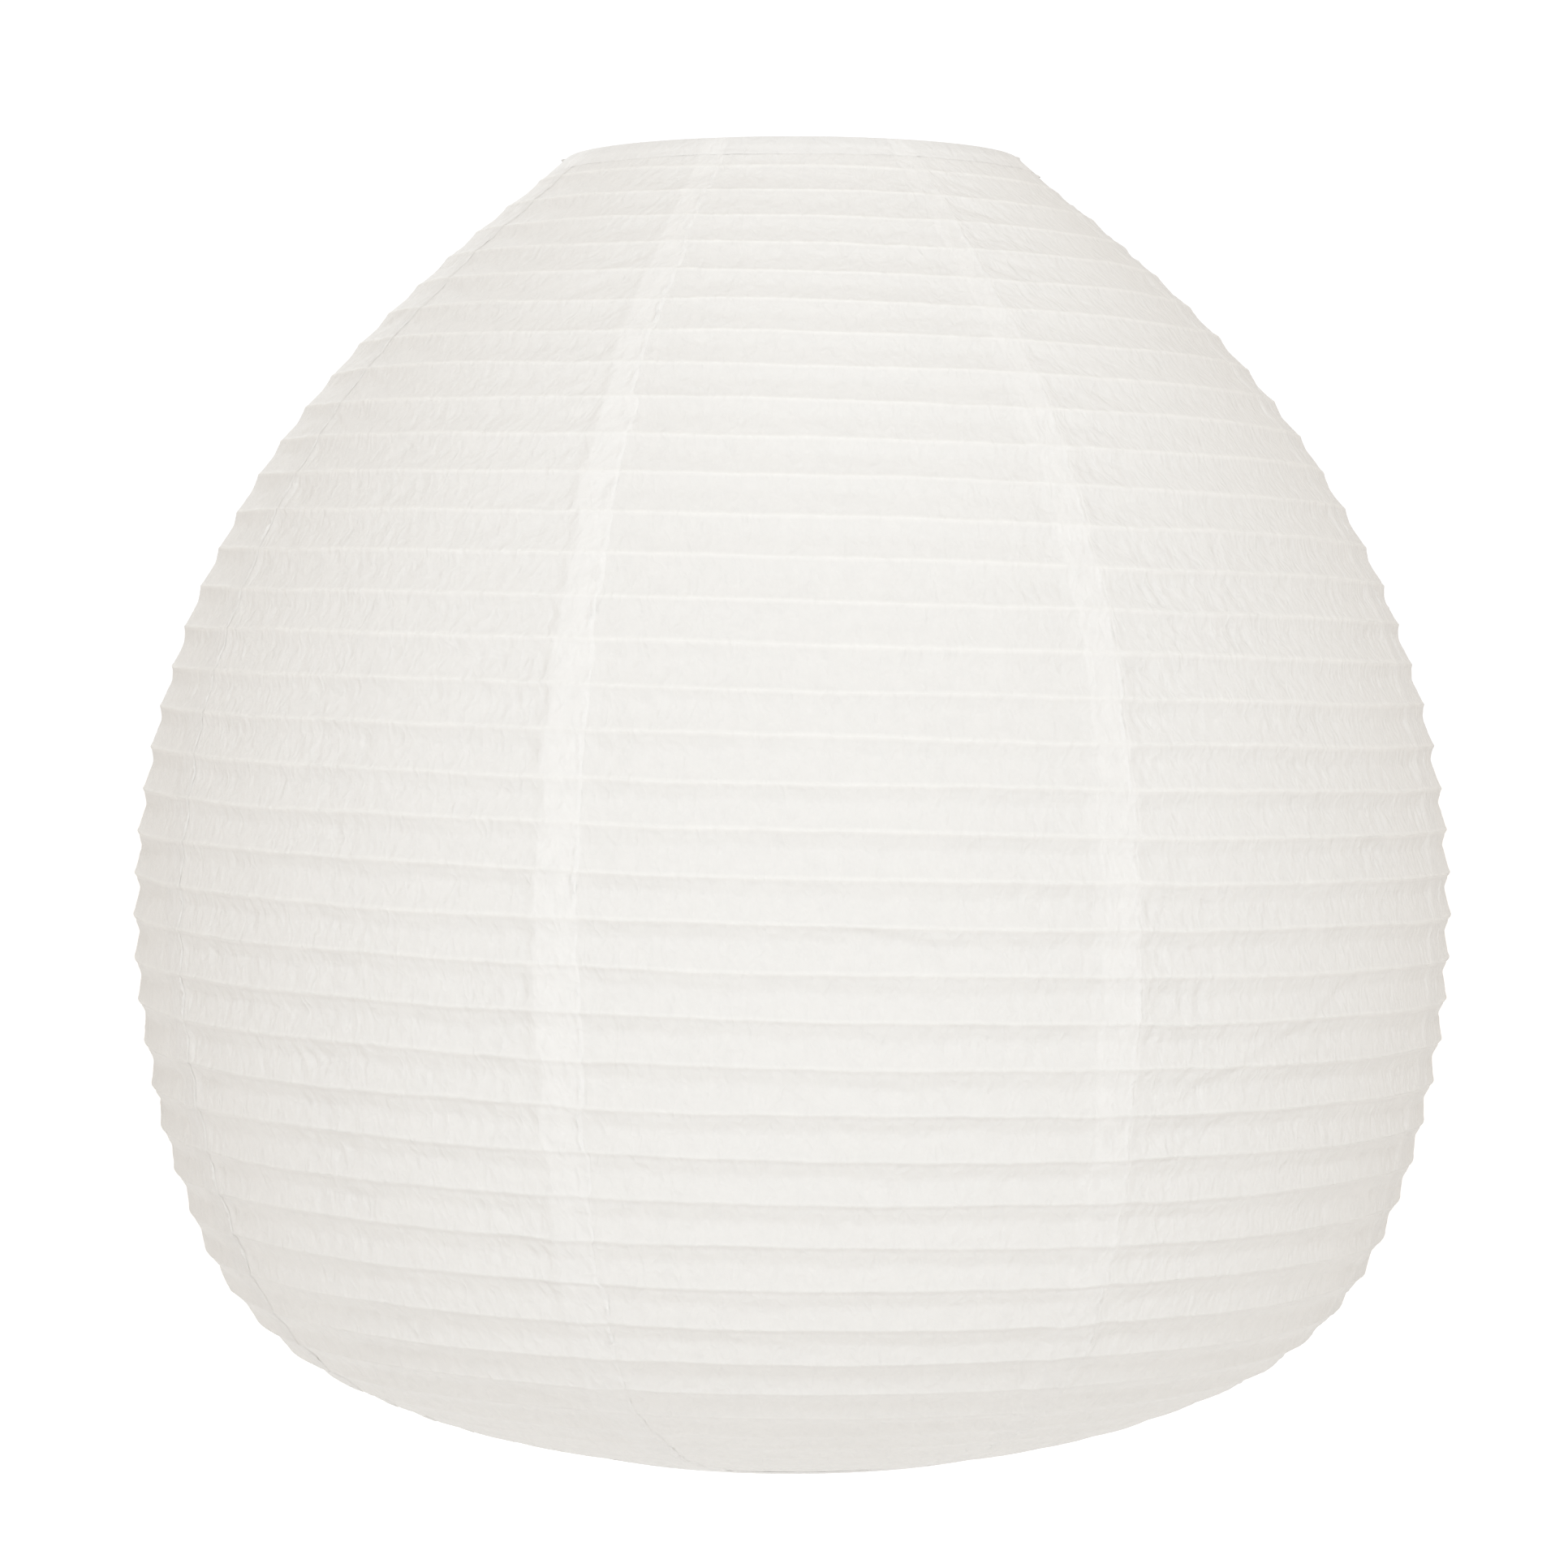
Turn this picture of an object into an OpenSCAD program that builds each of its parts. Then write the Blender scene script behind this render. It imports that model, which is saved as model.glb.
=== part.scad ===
// Paper lantern shade: eight paper gores glued over one spiral wire rib, held
// open between two wire rings by a wire spreader that hangs on the lamp holder.
// The origin is the middle of the lamp-holder hole. +Z is up, -Y is the front.

/* [Outline] */
// Radius of both wire rings, to the middle of the wire
ring_r = 102; // [98:1:106]
// Slope of the paper where it leaves the top ring, in degrees below level
crown_slope = 35.4; // [33:0.2:38]
// Radius of the arc from the top ring to the side
crown_r = 625; // [550:5:700]
// Angle the crown's arc turns through
crown_turn = 12; // [10:0.5:14]
// Radius of the side's arc
side_r = 377.5; // [360:0.5:395]
// Angle the side's arc turns through
side_turn = 64.4; // [62:0.2:67]
// Radius of the arc that turns under the shade
hip_r = 130; // [120:1:140]
// Angle the turn-under arc turns through
hip_turn = 42; // [39:0.5:44]
// Radius of the shallow arc that runs in to the bottom ring
base_r = 332; // [310:2:360]

/* [Paper] */
// Number of paper gores round the shade
gore_count = 8; // [8:1:8]
// Angle from +X to the edge where the first gore begins
seam_angle = 28.2; // [0:0.1:44]
// Thickness of the gores' solids
paper_t = 0.6; // [0.5:0.1:0.8]
// Angle that each gore laps under the end of the gore before it
lap_angle = 3.4; // [2:0.2:5]
// Width of the tape folded over each ring, from the ring's middle
tape_w = 12; // [10:1:14]
// Thickness of the tape
tape_t = 0.5; // [0.4:0.1:0.6]

/* [Wire] */
// Diameter of the ring wire
ring_wire = 3.5; // [3:0.1:4]
// Diameter of the spiral rib's wire
rib_wire = 0.8; // [0.6:0.1:1]
// Distance from one turn of the rib to the next, along the paper
rib_pitch = 19; // [18:0.5:21]
// Diameter of the spreader's wire
spreader_wire = 3; // [2.6:0.1:3.2]

/* [Lamp holder plate] */
// Diameter of the lamp-holder hole
holder_d = 42; // [40:1:44]
// Outer diameter of the plate
plate_d = 64; // [60:1:68]
// Thickness of the plate
plate_t = 1.5; // [1:0.1:2]

/* [Hidden] */
$fn = 48;

paper_color = [0.95, 0.95, 0.93];
wire_color = [0.78, 0.79, 0.8];
spreader_color = [0.93, 0.93, 0.92];

// Clearances: between moving pieces, between glued layers, round a folded
// tape, and at welds
running_gap = 0.35;
glue_gap = 0.3;
tape_gap = 0.2;
weld_gap = 0.02;

// The wire ring, the ferrule that closes it and the tape round them
ring_wire_r = ring_wire / 2;
ferrule_wall = 0.4;
ferrule_angle = 7;
tape_inner_r = ring_wire_r + ferrule_wall + tape_gap;
tape_outer_r = tape_inner_r + tape_t;

// The spreader's wires lie this far from a ring's middle
spreader_r = spreader_wire / 2;
hook_reach = tape_outer_r + running_gap + spreader_r;
arm_z = plate_t / 2 + spreader_r + weld_gap;
top_z = arm_z + hook_reach;

// The shade's outline is four arcs in a row, each leaving where the last one
// ends. A point on it is [radius, height, slope below level].
function after_arc(p, radius, turn) = [
    p[0] + radius * (sin(p[2] + turn) - sin(p[2])),
    p[1] + radius * (cos(p[2] + turn) - cos(p[2])),
    p[2] + turn
];
function arc_length(radius, turn) = radius * turn * PI / 180;

crown_start = [ring_r, top_z, crown_slope];
side_start = after_arc(crown_start, crown_r, crown_turn);
hip_start = after_arc(side_start, side_r, side_turn);
base_start = after_arc(hip_start, hip_r, hip_turn);
// The last arc ends at the radius the first one began at, so the rings match
base_end_slope = 180 - asin(sin(base_start[2]) + (ring_r - base_start[0]) / base_r);
base_turn = base_end_slope - base_start[2];
base_end = after_arc(base_start, base_r, base_turn);
bottom_z = base_end[1];

crown_len = arc_length(crown_r, crown_turn);
side_len = arc_length(side_r, side_turn);
hip_len = arc_length(hip_r, hip_turn);
paper_len = crown_len + side_len + hip_len + arc_length(base_r, base_turn);

// The point a distance s down the outline from the top ring
function along(p, radius, d) = after_arc(p, radius, d / radius * 180 / PI);
function on_paper(s) =
    s < crown_len ? along(crown_start, crown_r, s)
    : s < crown_len + side_len ? along(side_start, side_r, s - crown_len)
    : s < crown_len + side_len + hip_len
        ? along(hip_start, hip_r, s - crown_len - side_len)
    : along(base_start, base_r, s - crown_len - side_len - hip_len);

// The same point moved out from the paper by d
function off_paper(s, d) =
    let (p = on_paper(s))
    [p[0] + d * sin(p[2]), p[1] + d * cos(p[2])];

// A thin band that follows the outline from s0 to s1, between two offsets
function band(s0, s1, inner, outer, steps) = concat(
    [for (i = [0:steps]) off_paper(s0 + (s1 - s0) * i / steps, outer)],
    [for (i = [steps:-1:0]) off_paper(s0 + (s1 - s0) * i / steps, inner)]
);

// Gores: paper from ring to ring, with a lap along each one's first edge and
// a hair's breadth before the next one
gore_angle = 360 / gore_count;
gore_gap_angle = 0.06;
gore_start = tape_outer_r + tape_gap;
gore_steps = 48;
lap_start = tape_w + 2;
web_start = lap_start + 2;
lap_outer = -paper_t / 2 - glue_gap;
lap_inner = lap_outer - paper_t;
// The web stands from one to two of these angles past the gore's first edge,
// and the lap runs on to three
web_angle = 0.3;

// The rib lies under the laps. It runs counter-clockwise down the shade from
// -X near the top ring, and ends at -X near the bottom ring
rib_r = rib_wire / 2;
rib_offset = lap_inner - glue_gap - rib_r;
rib_from_angle = 180;
rib_start = 16.5;
rib_turns = floor((paper_len - 2 * rib_start) / rib_pitch);
rib_end = rib_start + rib_turns * rib_pitch;
rib_step = 15;
rib_rings = rib_turns * 360 / rib_step;

// The four corners of the rib's section after i steps
function rib_ring(i) =
    let (
        turned = rib_from_angle + i * rib_step,
        s = rib_start + rib_pitch * i * rib_step / 360,
        p = off_paper(s, rib_offset),
        slope = on_paper(s)[2]
    )
    [
        for (corner = [0:90:270])
            let (
                r = p[0] + rib_r * sin(slope + corner),
                z = p[1] + rib_r * cos(slope + corner)
            )
            [r * cos(turned), r * sin(turned), z]
    ];

// Paper patches that glue the rib's ends down, each from a little before the
// wire's end to well along the wire
patch_w = 12;
patch_t = 0.4;
patch_angle = 14;
patch_over = 4;
top_patch_from = rib_from_angle - patch_over;
low_patch_from = rib_from_angle + patch_over - patch_angle;
// Clear of the rib's straight runs, which cut inside the true spiral
rib_end_r = max(on_paper(rib_start)[0], on_paper(rib_end)[0]);
patch_gap = rib_end_r * (1 - cos(rib_step / 2)) + glue_gap;
patch_offset = rib_offset - rib_r - patch_gap - patch_t / 2;

// Legs stand inside the rings, clear of their tape, and beside the arms. They
// run on a little past the arms above and the feet below
leg_in = 1.2;
leg_gap = 0.3;
leg_over = 4;
leg_x = ring_r - hook_reach - leg_in;
leg_y = spreader_wire + leg_gap;
foot_z = bottom_z + hook_reach;
foot_y = leg_y - spreader_wire - weld_gap;
foot_in = 2;
foot_start = leg_x - foot_in;
// Arms are welded on the plate, and arms and feet end just past the ring's wire
weld_reach = 3;
arm_start = holder_d / 2 + weld_reach;
tip_over = 1;
wire_tip = ring_r + tip_over;

// A straight wire from the origin along +X, with round ends
module wire(length) {
    rotate([0, 90, 0])
        cylinder(r = spreader_r, h = length);
    sphere(r = spreader_r);
    translate([length, 0, 0])
        sphere(r = spreader_r);
}

module holder_plate() {
    plate_w = (plate_d - holder_d) / 2;
    color(spreader_color)
        rotate_extrude()
            translate([holder_d / 2, -plate_t / 2])
                square([plate_w, plate_t]);
}

// side is 1 for the right-hand piece and -1 for the left-hand one
module arm(side) {
    color(spreader_color)
        rotate([0, 0, side > 0 ? 0 : 180])
            translate([arm_start, 0, arm_z])
                wire(wire_tip - arm_start);
}

module leg(side) {
    leg_top = arm_z + leg_over;
    leg_bottom = foot_z - hook_reach - leg_over;
    color(spreader_color)
        rotate([0, 0, side > 0 ? 0 : 180])
            translate([leg_x, leg_y, leg_top])
                rotate([0, 90, 0])
                    wire(leg_top - leg_bottom);
}

module foot(side) {
    color(spreader_color)
        rotate([0, 0, side > 0 ? 0 : 180])
            translate([foot_start, foot_y, foot_z])
                wire(wire_tip - foot_start);
}

module ring(z) {
    color(wire_color)
        translate([0, 0, z])
            rotate_extrude()
                translate([ring_r, 0])
                    circle(r = ring_wire_r);
}

// The sleeve crimped over the two ends of a ring's wire, at the back
module ferrule(z) {
    color(wire_color)
        translate([0, 0, z])
            rotate([0, 0, 90 - ferrule_angle / 2])
                rotate_extrude(angle = ferrule_angle)
                    translate([ring_r, 0])
                        difference() {
                            circle(r = ring_wire_r + ferrule_wall);
                            circle(r = ring_wire_r + weld_gap);
                        }
}

// Tape folded round a ring, with both its ends glued to the gores. slope is
// the way the gores leave the ring, in degrees below level
module rim_tape(z, slope) {
    slot = paper_t + 3 * glue_gap;
    overrun = 1;
    color(paper_color)
        translate([0, 0, z])
            rotate_extrude()
                translate([ring_r, 0])
                    rotate(-slope)
                        difference() {
                            union() {
                                circle(r = tape_outer_r);
                                translate([0, -slot / 2 - tape_t])
                                    square([tape_w, slot + 2 * tape_t]);
                            }
                            circle(r = tape_inner_r);
                            translate([0, -slot / 2])
                                square([tape_w + overrun, slot]);
                        }
}

// The rib's section is a small square that turns with the paper. One ring of
// points is set every rib_step degrees along the spiral
module spiral_rib() {
    rings = [for (i = [0:rib_rings]) rib_ring(i)];
    points = [for (r = rings, p = r) p];
    walls = [
        for (i = [0:rib_rings - 1], j = [0:3])
            [i * 4 + j, i * 4 + (j + 1) % 4, i * 4 + 4 + (j + 1) % 4, i * 4 + 4 + j]
    ];
    first = [3, 2, 1, 0];
    last = [for (j = [0:3]) rib_rings * 4 + j];
    color(wire_color)
        polyhedron(points = points, faces = concat([first], walls, [last]), convexity = 10);
}

// A patch of paper under the rib's end at s, from an angle of turn
module rib_patch(s, turn) {
    p = off_paper(s, patch_offset);
    color(paper_color)
        rotate([0, 0, turn])
            rotate_extrude(angle = patch_angle)
                translate(p)
                    rotate(-on_paper(s)[2])
                        square([patch_w, patch_t], center = true);
}

// The lap goes under the end of the gore before. It hangs from its own gore's
// first edge by a narrow web across the glue gap
module gore(number) {
    color(paper_color)
        rotate([0, 0, seam_angle + (number - 1) * gore_angle])
            union() {
                rotate_extrude(angle = gore_angle - gore_gap_angle)
                    polygon(band(gore_start, paper_len - gore_start,
                        -paper_t / 2, paper_t / 2, gore_steps));
                rotate([0, 0, web_angle])
                    rotate_extrude(angle = web_angle)
                        polygon(band(web_start, paper_len - web_start,
                            (lap_inner + lap_outer) / 2, 0, gore_steps));
                rotate([0, 0, -lap_angle])
                    rotate_extrude(angle = lap_angle + 3 * web_angle)
                        polygon(band(lap_start, paper_len - lap_start,
                            lap_inner, lap_outer, gore_steps));
            }
}

holder_plate();
arm(-1);  // left_arm
arm(1);  // right_arm
leg(-1);  // left_leg
leg(1);  // right_leg
foot(-1);  // left_foot
foot(1);  // right_foot
ring(top_z);  // top_ring
ring(bottom_z);  // bottom_ring
ferrule(top_z);  // top_ring_ferrule
ferrule(bottom_z);  // bottom_ring_ferrule
rim_tape(top_z, crown_slope);  // top_rim_tape
rim_tape(bottom_z, base_end_slope - 180);  // bottom_rim_tape
spiral_rib();
rib_patch(rib_start, top_patch_from);  // rib_top_patch
rib_patch(rib_end, low_patch_from);  // rib_bottom_patch
gore(1);  // gore_1
gore(2);  // gore_2
gore(3);  // gore_3
gore(4);  // gore_4
gore(5);  // gore_5
gore(6);  // gore_6
gore(7);  // gore_7
gore(8);  // gore_8
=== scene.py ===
import math

import bpy
import numpy as np
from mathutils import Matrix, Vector


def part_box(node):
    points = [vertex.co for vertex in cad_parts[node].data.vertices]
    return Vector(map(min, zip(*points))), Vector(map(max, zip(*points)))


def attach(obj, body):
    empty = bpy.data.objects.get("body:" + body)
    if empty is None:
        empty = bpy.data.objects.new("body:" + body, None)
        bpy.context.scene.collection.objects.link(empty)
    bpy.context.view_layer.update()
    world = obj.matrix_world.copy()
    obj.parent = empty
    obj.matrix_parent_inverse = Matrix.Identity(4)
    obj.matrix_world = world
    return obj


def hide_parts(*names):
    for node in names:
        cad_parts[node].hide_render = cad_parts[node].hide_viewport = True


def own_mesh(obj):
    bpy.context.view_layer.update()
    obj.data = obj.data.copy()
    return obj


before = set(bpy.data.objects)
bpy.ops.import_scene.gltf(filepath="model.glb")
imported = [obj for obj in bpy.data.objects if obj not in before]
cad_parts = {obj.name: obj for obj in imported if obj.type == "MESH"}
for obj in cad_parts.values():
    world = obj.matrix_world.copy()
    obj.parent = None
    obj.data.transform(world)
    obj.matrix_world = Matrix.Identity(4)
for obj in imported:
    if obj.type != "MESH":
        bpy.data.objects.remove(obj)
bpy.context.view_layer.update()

MM = 0.001

# ---------------------------------------------------------------- sizes
# The rings' places come from the frame; the outline and the rib repeat the
# design's own values.
ring_low, ring_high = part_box("top_ring")
RING_WIRE_R = (ring_high.z - ring_low.z) / 2
RING_R = (ring_high.x - ring_low.x) / 2 - RING_WIRE_R
TOP_Z = (ring_high.z + ring_low.z) / 2
ring_low, ring_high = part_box("bottom_ring")
BOTTOM_Z = (ring_high.z + ring_low.z) / 2

# The outline's slope below the horizontal at the top ring, then the radius and
# turn of each of its arcs; the last one closes on the bottom ring
CROWN_SLOPE = math.radians(35.4)
ARCS = ((0.625, math.radians(12)), (0.3775, math.radians(64.4)),
        (0.130, math.radians(42)), (0.332, None))

GORES = 8
GORE_ANGLE = 360 / GORES
# The middle of the first seam, in degrees from +X
SEAM_ANGLE = 26.5
# How far each gore stops short of the rings' wire centres
GORE_END = 3.2 * MM
TAPE_W = 12 * MM
TAPE_TURN_R = RING_WIRE_R + 0.3 * MM
# Where the ferrules lie on both rings, in degrees from +X
FERRULE_ANGLE = 90
# The rib: distance from the top ring, pitch along the paper, and the angle at
# which it starts
RIB_START = 16.5 * MM
RIB_PITCH = 19 * MM
RIB_TURNS = 38
RIB_FROM = 180.0
RIB_WIRE_R = 0.4 * MM
# How far the wire's centre lies under the paper, and its mesh: degrees from
# ring to ring of points, and points in a ring
RIB_UNDER = 0.85 * MM
RIB_STEP = 3.0
RIB_SIDES = 8


def trace_outline():
    """The arcs that the paper follows, each with where it starts, and the
    paper's whole length from ring to ring."""
    r, z, slope, s = RING_R, TOP_Z, CROWN_SLOPE, 0.0
    rows = []
    for radius, turn in ARCS:
        if turn is None:
            turn = math.pi - math.asin(math.sin(slope) + (RING_R - r) / radius) - slope
        rows.append((s, radius, r, z, slope))
        r += radius * (math.sin(slope + turn) - math.sin(slope))
        z += radius * (math.cos(slope + turn) - math.cos(slope))
        slope += turn
        s += radius * turn
    return np.array(rows), s


ARC_ROWS, PAPER_LEN = trace_outline()


def on_paper(s):
    """Radius, height and slope of the outline at each distance s."""
    s = np.asarray(s, float)
    row = ARC_ROWS[np.clip(np.searchsorted(ARC_ROWS[:, 0], s, side="right") - 1, 0, 3)]
    turned = row[..., 4] + (s - row[..., 0]) / row[..., 1]
    r = row[..., 2] + row[..., 1] * (np.sin(turned) - np.sin(row[..., 4]))
    z = row[..., 3] + row[..., 1] * (np.cos(turned) - np.cos(row[..., 4]))
    return r, z, turned


def place(s, angle, out):
    """Points at distance s down the outline, at an angle in degrees from +X,
    moved outward from the smooth surface by out."""
    r, z, slope = on_paper(s)
    r = r + out * np.sin(slope)
    z = z + out * np.cos(slope)
    a = np.radians(angle)
    return np.stack([r * np.cos(a), r * np.sin(a), z], -1)


def from_seam(angle):
    """Degrees from the middle of the nearest seam."""
    return (np.asarray(angle) - SEAM_ANGLE + GORE_ANGLE / 2) % GORE_ANGLE - GORE_ANGLE / 2


# ---------------------------------------------------------------- noise
def smooth(x, low=0.0, high=1.0):
    """A soft step from 0 at low to 1 at high."""
    t = np.clip((x - low) / (high - low), 0, 1)
    return t * t * (3 - 2 * t)


def noise(x, y, seed, period=256):
    """Gradient noise, about -1 to 1, with unit cells; x repeats after period."""
    turn = np.random.default_rng(seed).uniform(0, 2 * math.pi, (period, 256))
    x0, y0 = np.floor(x).astype(int), np.floor(y).astype(int)
    fx, fy = x - x0, y - y0
    u = fx * fx * fx * (fx * (fx * 6 - 15) + 10)
    v = fy * fy * fy * (fy * (fy * 6 - 15) + 10)

    def corner(i, j):
        t = turn[(x0 + i) % period, (y0 + j) % 256]
        return np.cos(t) * (fx - i) + np.sin(t) * (fy - j)

    low = corner(0, 0) * (1 - u) + corner(1, 0) * u
    high = corner(0, 1) * (1 - u) + corner(1, 1) * u
    return 1.5 * (low * (1 - v) + high * v)


def folds(x, y, seed):
    """Sharp little ridges with round valleys between, 0 at a ridge and down
    to about -1 in a valley."""
    return -np.abs(noise(x, y, seed))


# ---------------------------------------------------------------- the rib
def rib_line(v, angle):
    """Distance down the outline at v turns along the spiral, measured at that
    angle: an even spiral that leans a little and wanders a little."""
    s = RIB_START + RIB_PITCH * v
    r = on_paper(np.clip(s, 0, PAPER_LEN))[0]
    lean = 0.0175 * smooth(s, 0.01, 0.11) * (1 - 0.8 * smooth(s, 0.42, 0.64))
    lean = lean * (1 - smooth(s, 0.68, PAPER_LEN))
    end = smooth(s, 0.012, 0.05) * (1 - smooth(s, PAPER_LEN - 0.05, PAPER_LEN - 0.012))
    wander = 0.9 * MM * noise(angle / 22.5, v * 0.9, 11, period=16)
    wander = wander + 0.35 * MM * noise(angle / 5, v * 1.3 + 40, 12, period=72)
    # The rib kinks a little where it crosses a seam, low on the shade
    kink = np.exp(-(from_seam(angle) / 4.5) ** 2) * (0.25 + 0.75 * smooth(s, 0.40, 0.58))
    wander = wander + 1.5 * MM * kink * noise(angle / 4.5, v * 1.1 + 17, 14, period=80)
    return s + lean * r * np.cos(np.radians(angle)) + wander * end


def rib_out(v, angle):
    """How far the rib pushes the paper out of, or lets it into, the smooth
    outline."""
    return 0.5 * MM * noise(angle / 30, v * 0.45 + 90, 13, period=12)


def rise(s):
    """How far the gores' ends ride up over the rings, to lie flush in the
    tape."""
    from_end = np.minimum(s, PAPER_LEN - s)
    return 1.2 * MM * (1 - smooth(from_end, 2 * MM, 26 * MM))


# ---------------------------------------------------------------- gores
# Half the width of a seam's double strip, at these distances down the outline
STRIP_AT = np.array([0, 0.15, 0.40, 0.60, 0.763])
STRIP_HALF = np.array([5.2, 7.0, 9.2, 9.0, 6.5]) * MM
# How far the covered layer of a strip lies below the other
UNDER = 0.28 * MM
# The height of a free edge's crimps
CURL = 1.25 * MM
# The rib shows as a ridge, with a tuck below it, and the paper rounds over it
RIDGE = 0.34 * MM
TUCK = 0.35 * MM
ROUNDED = 0.2 * MM
# How white each seam's double strip looks, from the seam at SEAM_ANGLE
STRIP_SEEN = (0.8, 1.0, 1.0, 0.9, 0.45, 1.0, 1.0, 0.45)
# How crumpled each gore's paper is, from gore 1
CRUMPLED = (1.0, 0.9, 1.1, 0.9, 1.15, 0.7, 1.05, 0.95)
# The rows of points between one turn of the rib and the next, closer beside the
# rib, and the rows at each end of a gore
BAND_ROWS = np.array([0, 0.035, 0.085, 0.16, 0.25, 0.345, 0.44, 0.535, 0.63, 0.725, 0.82,
                      0.91, 0.965])
END_ROWS = 9
COLUMNS = 178
# Distances from the free edge of the columns that shape its crimps
EDGE_COLUMNS = np.array([2.9, 2.3, 1.8, 1.35, 0.95, 0.6, 0.3, 0.0]) * MM


def strip_edge(seam, u, side):
    """Angle from a seam's middle to one edge of its double strip, in degrees.
    side is -1 for the covered edge and 1 for the free one."""
    s = np.clip(RIB_START + RIB_PITCH * (u + 0.5), 0, PAPER_LEN)
    r = on_paper(s)[0]
    half = np.interp(s, STRIP_AT, STRIP_HALF)
    band = np.clip(np.floor(u), 0, RIB_TURNS - 1).astype(int)
    steps = np.random.default_rng(500 + 2 * seam + (side > 0)).uniform(-1, 1, RIB_TURNS)
    p = u - np.floor(u)
    inside = smooth(p, 0.0, 0.12) * (1 - smooth(p, 0.88, 1.0))
    step = 1.5 * MM * steps[band] * (0.25 + 0.75 * inside)
    drift = 0.9 * MM * noise(u * 0.35, np.full_like(u, 7.5 + seam), 21)
    rough = 0.50 * MM * noise(u * 3.1, np.full_like(u, 3.5 + seam), 22)
    return side * np.degrees(half / r) + np.degrees((step + drift + rough) / r)


def sag(u, angle, s, turned):
    """How far the paper draws in between the ribs. turned is the angle from
    where the rib starts, which may be below zero next to that place."""
    v = u + turned / 360
    band = np.floor(u)
    middle = band + 0.5 + turned / 360
    depth = np.interp(s, [0, 0.08, 0.25, 0.36, 0.48, 0.60, 0.70, 0.763],
                      [0.6, 0.9, 1.6, 2.6, 2.6, 2.0, 1.35, 0.9]) * MM
    depth = depth * (1 + 0.22 * noise(angle / 22.5, middle * 1.7, 31, period=16)
                     + 0.16 * noise(angle / 7.5, middle * 2.3 + 9, 32, period=48))
    # Two flat slopes that meet in a soft valley
    p = u - band
    valley = np.interp(s, [0, 0.28, 0.38, 0.55, 0.763], [0.45, 0.34, 0.34, 0.47, 0.5])
    valley = valley + 0.07 * noise(angle / 6, middle * 1.9 + 31, 33, period=60)
    soft = 0.10
    body = -depth * soft * np.log(np.exp(-p / valley / soft)
                                  + np.exp(-(1 - p) / (1 - valley) / soft))
    # The paper bends round the wire, not sharply over it
    body = np.sqrt(body ** 2 + ROUNDED ** 2) - ROUNDED
    begun = smooth(turned, -7, 5)
    body = np.where(u < 1, body * begun, body)
    # From the top tape to the first turn
    first = rib_line(turned / 360, angle)
    edge = TAPE_W + 0.5 * MM
    q = np.clip((s - edge) / np.maximum(first - edge, 1 * MM), 0, 1)
    top = 0.35 * MM * np.clip((first - edge) / RIB_PITCH, 0, 1) ** 2 * 4 * q * (1 - q)
    # From the last turn to the bottom tape
    last = rib_line(RIB_TURNS - 1 + turned / 360 + (1 - begun), angle)
    stop = PAPER_LEN - edge
    q = np.clip((s - last) / np.maximum(stop - last, 1 * MM), 0, 1)
    low = 1.3 * MM * np.clip((stop - last) / (1.5 * RIB_PITCH), 0, 1) ** 2 * 4 * q * (1 - q)
    inner = np.where(u < 0, top, np.where(u > RIB_TURNS, low, body))
    tail = (u > RIB_TURNS - 1) & (u <= RIB_TURNS)
    return np.where(tail, body * (1 - begun) + low * begun, inner)


# Long creases, each across one gore: the gore's number, then the angle from
# +X and the distance down the outline of both ends, then depth and width
CREASES = (
    (7, 301, 0.475, 324, 0.425, 1.0, 2.9),
    (7, 299, 0.505, 309, 0.480, 0.65, 2.6),
    (6, 272, 0.398, 285, 0.410, 0.80, 2.8),
    (6, 275, 0.462, 284, 0.474, 0.60, 2.6),
    (6, 268, 0.580, 275, 0.588, 0.55, 2.5),
    (5, 236, 0.600, 247, 0.625, 1.0, 2.9),
    (5, 222, 0.488, 232, 0.506, 0.80, 2.7),
    (7, 300, 0.625, 306, 0.610, 0.75, 2.6),
    (8, 352, 0.330, 364, 0.362, 0.80, 2.7),
    (1, 38, 0.520, 55, 0.480, 0.90, 2.8),
    (2, 85, 0.300, 98, 0.335, 0.80, 2.7),
    (2, 80, 0.610, 92, 0.585, 0.70, 2.6),
    (3, 124, 0.440, 140, 0.470, 0.90, 2.8),
    (4, 172, 0.385, 186, 0.352, 0.80, 2.7),
    (4, 180, 0.560, 196, 0.590, 0.80, 2.7),
)


def crease(number, angle, s):
    """The height of the long creases that cross this gore."""
    out = np.zeros_like(s)
    r = on_paper(s)[0]
    for owner, a0, s0, a1, s1, depth, width in CREASES:
        if owner != number:
            continue
        x = np.radians(angle - a0) * r
        y = s - s0
        dx = math.radians(a1 - a0) * float(on_paper((s0 + s1) / 2)[0])
        dy = s1 - s0
        length = math.hypot(dx, dy)
        t = (x * dx + y * dy) / length ** 2
        bow = 0.03 * length * np.sin(np.pi * np.clip(t, 0, 1))
        off = (x * dy - y * dx) / length + bow
        fade = smooth(t, -0.05, 0.25) * (1 - smooth(t, 0.75, 1.05))
        out += depth * MM * fade * (off / (width * MM)) * np.exp(-(off / (width * MM)) ** 2)
    return out


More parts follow.
